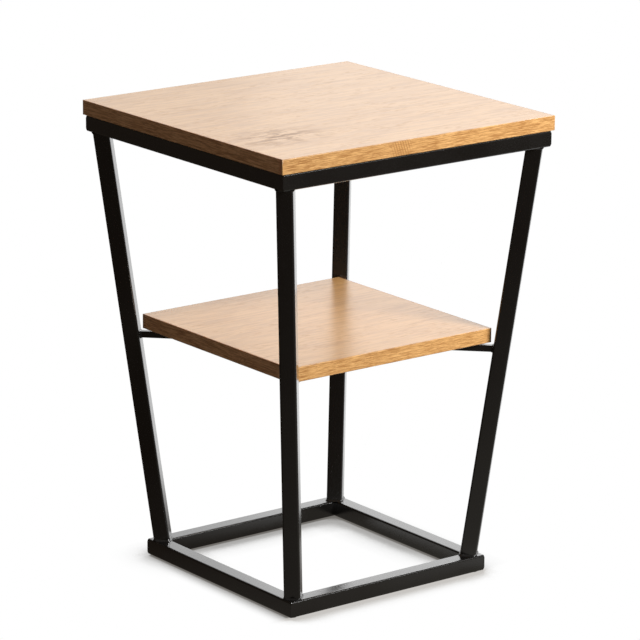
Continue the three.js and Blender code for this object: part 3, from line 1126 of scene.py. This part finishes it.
@dataclass
class ShelfCross:
    """The cross of square bars that carries the shelf, one bar through and two halves, welded on."""

    legs: LeaningLegs
    finish: Material
    weld: Material
    top: float = 287 * MM
    side: float = 8 * MM
    arris: float = 0.6 * MM
    arris_steps: int = 4
    uncut_reach: float = 260 * MM
    weld_gap: float = 0.3 * MM
    bead_sink: float = 0.1 * MM
    bead_spread: float = 1.4 * MM
    bead_length: float = 2.8 * MM
    bead_profile: Profile = ((0.0, 0.0), (1.0, 0.0), (0.95, 0.1), (0.62, 0.28), (0.28, 0.55),
                             (0.08, 0.8), (0.0, 1.0))
    wander: float = 0.2 * MM
    wander_scale: float = 300.0
    bead_corner_steps: int = 3
    bead_straight_cuts: int = 9

    def build(self) -> None:
        """Builds the through bar and the two half bars."""
        self.build_bar("shelf_bar_through", Corner.FRONT_RIGHT, -self.uncut_reach, (1, -1))
        for corner in (Corner.FRONT_LEFT, Corner.BACK_RIGHT):
            self.build_bar(f"shelf_bar_{corner.label}", corner, self.side / 2 + self.weld_gap, (1,))

    def build_bar(self, name: str, corner: Corner, start: float, ends: tuple[int, ...]) -> None:
        """Builds one bar with its weld beads.

        Args:
            name: The bar's node.
            corner: The corner that it runs to.
            start: Where it starts along the diagonal, before it is cut to length.
            ends: The ends that meet a leg, 1 or -1.
        """
        low = self.top - self.side
        bm = bmesh.new()
        add_box(bm, Vector((start, -self.side / 2, low)), Vector((self.uncut_reach, self.side / 2, self.top)))
        ease(bm, [e for e in bm.edges if abs(e.verts[0].co.x - e.verts[1].co.x) > MM], self.arris,
             self.arris_steps)
        for heading in ends:
            co = Vector((heading * (self.legs.inner_reach(low) - self.weld_gap), 0, low))
            close_cut(bm, co, Vector((heading, 0, -self.legs.slope)).normalized())
        move(bm, corner.turn)
        finish_piece(bm, name, "rod", self.finish)
        for heading in ends:
            self.build_bead(name, corner, heading)

    def build_bead(self, node: str, corner: Corner, heading: int) -> None:
        """Builds the weld bead at one end of a bar.

        Args:
            node: The bar's node.
            corner: The bar's corner.
            heading: The bar's end, 1 or -1.
        """
        middle = self.top - self.side / 2

        def place(point: Vector, spread: float, back: float) -> Vector:
            """Puts a point of the bead in place, from the bar's section to its end at the leg."""
            wander = self.wander * noise.noise(
                Vector((*(point.xy * self.wander_scale), corner.value + heading)))
            y, z, _ = point + point.normalized() * spread * (self.bead_spread + wander)
            reach = self.legs.inner_reach(middle + z) - self.weld_gap / 2
            return Vector((heading * (reach - back * self.bead_length), y, middle + z))

        bm = bmesh.new()
        add_bead(bm, self.side - 2 * self.bead_sink, self.arris, self.bead_corner_steps,
                 self.bead_straight_cuts, self.bead_profile, place)
        move(bm, corner.turn)
        end = "far" if heading > 0 else "near"
        finish_piece(bm, node, f"weld_{end}", self.weld, smooth_angle=WELD_SMOOTH)


@dataclass(frozen=True)
class TurnedPart:
    """A small turned part that stands on each diagonal."""

    node: str
    part: str
    slot: str
    finish: Material
    reach: float
    profile: Profile
    closed: bool = False
    steps: int = 48

    def build(self, corner: Corner) -> None:
        """Spins the part's profile of radius and height round Z, at one corner.

        Args:
            corner: The part's corner.
        """
        bm = bmesh.new()
        verts = [bm.verts.new((radius, 0, height)) for radius, height in self.profile]
        pairs = list(zip(verts, verts[1:])) + ([(verts[-1], verts[0])] if self.closed else [])
        edges = [bm.edges.new(pair) for pair in pairs]
        bmesh.ops.spin(bm, geom=verts + edges, cent=(0, 0, 0), axis=(0, 0, 1), angle=2 * math.pi,
                       steps=self.steps, use_merge=True)
        move(bm, corner.turn @ Matrix.Translation((self.reach, 0, 0)))
        finish_piece(bm, f"{self.node}_{corner.label}", self.part, self.finish, self.slot)


@dataclass
class SmallParts:
    """Screws, spacers and glides."""

    finishes: Finishes
    glide_place: float = 137.5 * MM
    glide_radius: float = 5 * MM
    glide_height: float = 2 * MM
    glide_chamfer: float = 0.5 * MM
    glide_round: float = 0.3
    spacer_reach: float = 150.13 * MM
    spacer_low: float = 287 * MM
    spacer_high: float = 290 * MM
    spacer_radius: float = 7 * MM
    spacer_bore: float = 2.25 * MM
    spacer_ends_in: float = 0.4 * MM
    spacer_shoulders_in: float = 0.1 * MM
    spacer_shoulder: float = 0.5 * MM

    def build(self, nodes: dict[str, bpy.types.Object]) -> None:
        """Builds the spacers and glides and dresses the screws.

        Args:
            nodes: The frame's nodes.
        """
        spacer, glide = self.spacer(), self.glide()
        for corner in Corner:
            spacer.build(corner)
            glide.build(corner)
        for name, node in nodes.items():
            if "_screw_" in name:
                node.data.materials.clear()
                node.data.materials.append(self.finishes.zinc)
                LOG.info("%s: dressed in zinc plate", name)

    def spacer(self) -> TurnedPart:
        """The rubber spacer, its rim a little bulged under the shelf's weight."""
        low, high, bore, bulge = self.spacer_low, self.spacer_high, self.spacer_bore, self.spacer_radius
        face, shoulder = bulge - self.spacer_ends_in, bulge - self.spacer_shoulders_in
        profile = ((bore, low), (face, low), (shoulder, low + self.spacer_shoulder),
                   (bulge, (low + high) / 2), (shoulder, high - self.spacer_shoulder), (face, high),
                   (bore, high))
        return TurnedPart("shelf_spacer", "washer", "black_rubber", self.finishes.rubber,
                          self.spacer_reach, profile, True)

    def glide(self) -> TurnedPart:
        """The plastic glide, with a rounded chamfer on the floor."""
        radius, height, cut = self.glide_radius, self.glide_height, self.glide_chamfer
        inner = self.glide_round * cut
        profile = ((0, 0), (radius - cut, 0), (radius - inner, inner), (radius, cut), (radius, height),
                   (0, height))
        return TurnedPart("glide", "pad", "glide_plastic", self.finishes.glide,
                          self.glide_place * ROOT_2, profile)


# Studio


@dataclass
class Lamp:
    """A soft rectangular lamp."""

    name: str
    place: Triple
    width: float
    height: float
    power: float
    aim: Triple = (0, 0, 0.4)

    def build(self) -> None:
        """Adds the lamp to the scene."""
        data = bpy.data.lights.new(self.name, "AREA")
        data.shape = "RECTANGLE"
        data.size, data.size_y = self.width, self.height
        data.energy = self.power
        lamp = add_object(self.name, data)
        lamp.location = self.place
        lamp.rotation_mode = "QUATERNION"
        lamp.rotation_quaternion = (Vector(self.place) - Vector(self.aim)).to_track_quat("Z", "Y")
        lamp.visible_camera = False


@dataclass
class Studio:
    """The white floor, the surroundings, the lamps and the camera."""

    camera_place: Triple = (-2.658808, -3.494450, 1.508660)
    camera_yaw: float = math.radians(-37.329)
    camera_pitch: float = math.radians(-15.282)
    camera_roll: float = math.radians(0.277)
    camera_focal: float = 212.79
    dark_side: Colour = (0.042, 0.031, 0.023)
    front_side: Colour = (0.15, 0.138, 0.12)
    room_fill: Colour = (0.13, 0.13, 0.13)
    back_fill: float = 0.4
    floor_size: float = 12.0
    floor_bounce: Colour = (0.2, 0.2, 0.2)
    shadow_side: Triple = (-0.1, -0.5, 0.86)
    shadow_tone: Colour = (0.165, 0.155, 0.143)
    near_shadow: float = 22 * MM
    near_shadow_span: Span = (0.32, 0.94)
    wide_shadow: float = 50 * MM
    wide_shadow_span: Span = (0.74, 0.91)
    wide_shadow_depth: float = 0.7
    rear_start: Span = (-60 * MM, 60 * MM)
    front_line: Span = (-141 * MM, -136 * MM)
    front_shadow_tone: Colour = (0.50, 0.475, 0.445)
    front_shadow_span: Span = (0.66, 0.87)
    front_shadow_floor: float = 0.15
    sheet_behind: Span = (-0.15, 0.5)
    sheet_across: Span = (-0.2, 0.08)
    sheet_skew: float = 0.3
    sheet_left: Span = (-0.25, 0.0)
    sheet_left_tone: float = 0.86
    sheet_clear_of: Span = (0.88, 1.0)
    paper_aside: Span = (-0.25, 0.15)
    paper_far: Span = (0.4, 1.4)
    paper_far_share: float = 0.1
    sky_left: Span = (-0.8, -0.45)
    sky_right: Span = (0.75, 1.1)
    sky_top: Span = (0.6, 0.95)
    sky_top_tone: float = 0.3
    sweep_axes: Tree = field(default_factory=sweep_axes_group)

    def build(self) -> None:
        """Builds the studio."""
        self.build_floor()
        self.build_world()
        self.build_lamps()
        self.build_camera()
        bpy.context.scene.view_settings.view_transform = "Standard"

    def build_floor(self) -> None:
        """Builds the floor: white to the camera but for the contact shadow, plain grey to bounced light."""
        bm = bmesh.new()
        bmesh.ops.create_grid(bm, x_segments=1, y_segments=1, size=self.floor_size)
        material = bpy.data.materials.new("studio_floor")
        floor = add_mesh(bm, "floor", material)
        n = empty_nodes(material)
        path = n.add("ShaderNodeLightPath").outputs
        place = n.add("ShaderNodeTexCoord").outputs["Object"]
        axes = n.place(self.sweep_axes, Vector=place)
        openness = ({"Distance": self.near_shadow, "Normal": self.shadow_side},
                    {"Distance": self.wide_shadow})
        near, wide = (n.add("ShaderNodeAmbientOcclusion", reach, samples=8).outputs["AO"]
                      for reach in openness)
        shade = n.span(wide, *self.wide_shadow_span, self.wide_shadow_depth, 0.0)
        soft = n.times(shade, n.span(axes["Behind"], *self.rear_start))
        shadow = n.math("MINIMUM", n.span(near, *self.near_shadow_span), n.math("SUBTRACT", 1.0, soft))
        tone = self.floor_tone(n, place, wide, shadow)
        gloss = self.floor_gloss(n, place, axes, n.times(shadow, n.span(wide, *self.sheet_clear_of)))
        seen = n.add("ShaderNodeEmission", {"Color": n.mix(path["Is Glossy Ray"], tone, gloss)})
        bounced = n.add("ShaderNodeBsdfDiffuse", {"Color": solid(self.floor_bounce)})
        direct = n.math("MAXIMUM", path["Is Camera Ray"], path["Is Glossy Ray"])
        direct = n.math("MAXIMUM", direct, path["Is Transmission Ray"])
        either = n.add("ShaderNodeMixShader", {0: direct, 1: bounced.outputs[0], 2: seen.outputs[0]})
        n.add("ShaderNodeOutputMaterial", {"Surface": either.outputs[0]})

    def floor_tone(self, n: Nodes, place: Socket, wide: Socket, shadow: Socket) -> Socket:
        """Adds the floor as the camera sees it, with a paler shadow in front of the table.

        Args:
            n: The floor's nodes.
            place: The place on the floor.
            wide: How open the floor is, looked at widely.
            shadow: The contact shadow, 0 where it is deepest.

        Returns:
            The colour.
        """
        in_front = n.span(n.parts(place)["Y"], *self.front_line, 1.0, 0.0)
        back_tone = n.mix(shadow, solid(self.shadow_tone), WHITE)
        share = n.span(wide, *self.front_shadow_span, self.front_shadow_floor, 1.0)
        return n.mix(in_front, back_tone, n.mix(share, solid(self.front_shadow_tone), WHITE))

    def floor_gloss(self, n: Nodes, place: Socket, axes: Sockets, clear: Socket) -> Socket:
        """Adds the floor as glossy surfaces mirror it: the bright sweep, and dim paper elsewhere.

        Args:
            n: The floor's nodes.
            place: The place on the floor.
            axes: The place along and across the sweep.
            clear: Where nothing stands on the floor or near it.

        Returns:
            The colour.
        """
        across = n.math("MULTIPLY_ADD", axes["Behind"], self.sheet_skew, axes["Aside"])
        sheet = n.times(n.span(axes["Behind"], *self.sheet_behind), n.span(across, *self.sheet_across))
        sheet = n.times(sheet, n.span(axes["Aside"], *self.sheet_left, self.sheet_left_tone, 1.0))
        far = n.vector_math("LENGTH", place)["Value"]
        nearby = n.times(n.span(axes["Aside"], *self.paper_aside),
                         n.span(far, *self.paper_far, 1.0, self.paper_far_share))
        paper = n.mix(nearby, solid(self.dark_side), solid(self.front_side))
        return n.mix(n.times(sheet, clear), paper, WHITE)

    def build_world(self) -> None:
        """Builds the surroundings: white to the camera, a white sweep behind a dim room to the rest."""
        world = bpy.data.worlds.new("studio")
        bpy.context.scene.world = world
        n = empty_nodes(world)
        path = n.add("ShaderNodeLightPath").outputs
        way = n.add("ShaderNodeTexCoord").outputs["Generated"]
        axes = n.place(self.sweep_axes, Vector=way)
        bearing = n.math("ARCTAN2", axes["Aside"], axes["Behind"])
        sheet = n.times(n.span(bearing, *self.sky_left), n.span(bearing, *self.sky_right, 1.0, 0.0))
        sheet = n.times(sheet, n.span(n.parts(way)["Z"], *self.sky_top, 1.0, self.sky_top_tone))
        gloss = n.mix(sheet, solid(self.dark_side), WHITE)
        fill = n.mix(n.times(sheet, self.back_fill), solid(self.room_fill), WHITE)
        seen = n.math("MAXIMUM", path["Is Camera Ray"], path["Is Transmission Ray"])
        colour = n.mix(seen, n.mix(path["Is Glossy Ray"], fill, gloss), WHITE)
        background = n.add("ShaderNodeBackground", {"Color": colour})
        n.add("ShaderNodeOutputWorld", {"Surface": background.outputs[0]})

    def build_lamps(self) -> None:
        """Builds the lamps: a soft box in front, one at the back right, and the sweep's glow."""
        Lamp("key_front", (1.25, -4.5, 3.22), 2.4, 0.9, 402.0).build()
        Lamp("rim_back_right", (4.2, 2.0, 3.4), 2.5, 2.0, 66.0).build()
        Lamp("sweep_glow", (2.11, 1.34, 1.0), 2.1, 1.6, 3.4).build()

    def build_camera(self) -> None:
        """Builds the camera at the photograph's view."""
        data = bpy.data.cameras.new("camera")
        data.sensor_width = 36.0
        data.lens = self.camera_focal
        camera = add_object("camera", data)
        camera.matrix_world = Matrix.Translation(self.camera_place)
        for angle, axis in ((self.camera_yaw, "Z"), (QUARTER + self.camera_pitch, "X"),
                            (self.camera_roll, "Z")):
            camera.matrix_world = camera.matrix_world @ Matrix.Rotation(angle, 4, axis)
        bpy.context.scene.camera = camera


def main() -> None:
    """Builds the nightstand and its studio."""
    logging.basicConfig(level=logging.INFO, format="%(name)s: %(message)s")
    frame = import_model()
    finishes = Finishes()
    bands = (finishes.band_x, finishes.band_y)
    BandedBoard("top", 400 * MM, 552 * MM, finishes.top_decor, *bands).build()
    BandedBoard("shelf", 300 * MM, 290 * MM, finishes.shelf_decor, *bands).build()
    FrameRing("top", 395 * MM, 532 * MM, finishes.powder, (-110 * MM, 110 * MM)).build()
    FrameRing("base", 295 * MM, 2 * MM, finishes.powder).build()
    legs = LeaningLegs(finishes.powder, finishes.weld)
    legs.build()
    ShelfCross(legs, finishes.powder, finishes.weld).build()
    SmallParts(finishes).build(frame["nodes"])
    Studio().build()


if __name__ == "__main__":
    main()
